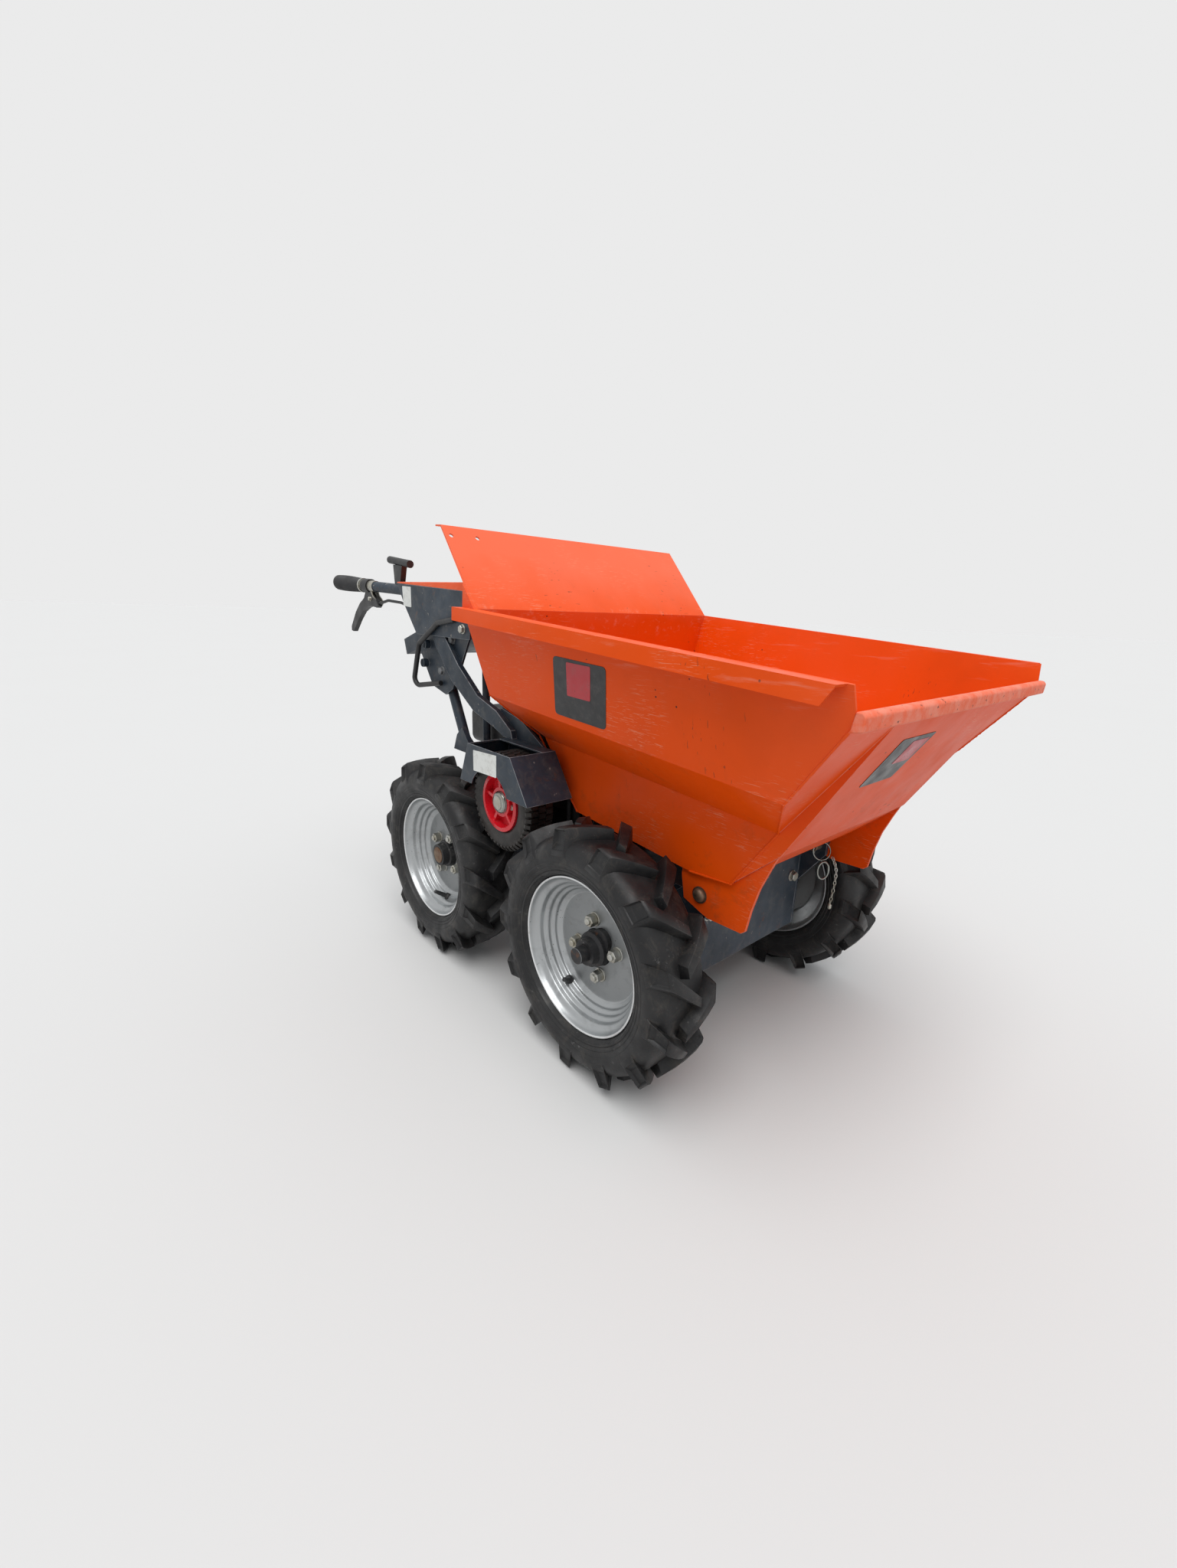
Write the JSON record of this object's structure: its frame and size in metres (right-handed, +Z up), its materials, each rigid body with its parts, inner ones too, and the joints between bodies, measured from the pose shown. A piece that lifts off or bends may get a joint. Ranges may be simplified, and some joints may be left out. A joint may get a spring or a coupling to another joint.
{
  "type": "site dumper",
  "caption": "Walk-behind site dumper: four lugged tyres driven by friction wheels, rear engine and handlebars, and a steel skip that tips forward over its front pins.",
  "frame": {"origin": "on the ground, under the middle of the machine's bounding box", "axes": "+X forward to the skip's pour lip, +Y to the machine's left, +Z up"},
  "size_m": [1.5702, 0.704, 0.9397],
  "materials": {
    "orange_paint": "semi-gloss powder coat, scuffed at the lip",
    "dark_paint": "satin blue-grey powder coat",
    "silver_paint": "satin silver wheel paint",
    "red_paint": "gloss red",
    "tyre": "matt black rubber",
    "grip_rubber": "matt",
    "zinc": "zinc plated, dulled",
    "black_steel": "satin black",
    "engine_metal": "matt black castings",
    "black_plastic": "matt"
  },
  "bodies": {
    "chassis": {"brake_levers": "black_plastic", "chassis_deck": "dark_paint", "chassis_front_plate": "dark_paint", "chassis_rail_left": "dark_paint", "chassis_rail_right": "dark_paint", "console_floor": "dark_paint", "console_side_left": "dark_paint", "console_side_right": "dark_paint", "console_top": "orange_paint", "control_arm_left": "dark_paint", "control_arm_right": "dark_paint", "drive_carrier_left": "dark_paint", "drive_carrier_right": "dark_paint", "engine_block": "engine_metal", "front_axle": "black_steel", "fuel_tank": "black_steel", "gearbox": "engine_metal", "grip_left": "grip_rubber", "grip_right": "grip_rubber", "hand_levers": "black_plastic", "handlebar_left": "dark_paint", "handlebar_right": "dark_paint", "muffler": "black_steel", "pivot_ear_left": "dark_paint", "pivot_ear_right": "dark_paint", "pivot_pin_left": "zinc", "pivot_pin_right": "zinc", "rear_axle": "black_steel", "recoil_cover": "black_steel", "support_tube_left": "dark_paint", "support_tube_right": "dark_paint", "wheel_guard_left": "dark_paint", "wheel_guard_right": "dark_paint"},
    "drive_wheel_left": {"drive_hub_left": "red_paint", "drive_shaft_left": "zinc", "drive_tyre_left": "tyre"},
    "drive_wheel_right": {"drive_hub_right": "red_paint", "drive_shaft_right": "zinc", "drive_tyre_right": "tyre"},
    "wheel_front_left": {"hub_front_left": "black_steel", "rim_front_left": "silver_paint", "tyre_front_left": "tyre"},
    "wheel_front_right": {"hub_front_right": "black_steel", "rim_front_right": "silver_paint", "tyre_front_right": "tyre"},
    "wheel_rear_left": {"hub_rear_left": "black_steel", "rim_rear_left": "silver_paint", "tyre_rear_left": "tyre"},
    "wheel_rear_right": {"hub_rear_right": "black_steel", "rim_rear_right": "silver_paint", "tyre_rear_right": "tyre"},
    "skip": {"skip_back_plate": "orange_paint", "skip_bracket_left": "orange_paint", "skip_bracket_right": "orange_paint", "skip_floor": "orange_paint", "skip_front": "orange_paint", "skip_lip": "orange_paint", "skip_rear": "orange_paint", "skip_side_left": "orange_paint", "skip_side_right": "orange_paint"}
  },
  "joints": [
    {"name": "front_right_wheel_spin", "type": "hinge", "parent": "chassis", "child": "wheel_front_right", "pos_m": [0.36556, -0.288, 0.2275], "axis": [0, 1, 0], "continuous": true},
    {"name": "front_left_wheel_spin", "type": "hinge", "parent": "chassis", "child": "wheel_front_left", "pos_m": [0.36556, 0.288, 0.2275], "axis": [0, 1, 0], "continuous": true},
    {"name": "rear_right_wheel_spin", "type": "hinge", "parent": "chassis", "child": "wheel_rear_right", "pos_m": [-0.16444, -0.288, 0.2275], "axis": [0, 1, 0], "continuous": true},
    {"name": "rear_left_wheel_spin", "type": "hinge", "parent": "chassis", "child": "wheel_rear_left", "pos_m": [-0.16444, 0.288, 0.2275], "axis": [0, 1, 0], "continuous": true},
    {"name": "drive_wheel_right_spin", "type": "hinge", "parent": "chassis", "child": "drive_wheel_right", "pos_m": [0.10056, -0.279, 0.4275], "axis": [0, 1, 0], "continuous": true},
    {"name": "drive_wheel_left_spin", "type": "hinge", "parent": "chassis", "child": "drive_wheel_left", "pos_m": [0.10056, 0.279, 0.4275], "axis": [0, 1, 0], "continuous": true},
    {"name": "skip_tip", "type": "hinge", "parent": "chassis", "child": "skip", "pos_m": [0.51256, 0, 0.362], "axis": [0, 1, 0], "range_deg": [0, 78]}
  ]
}
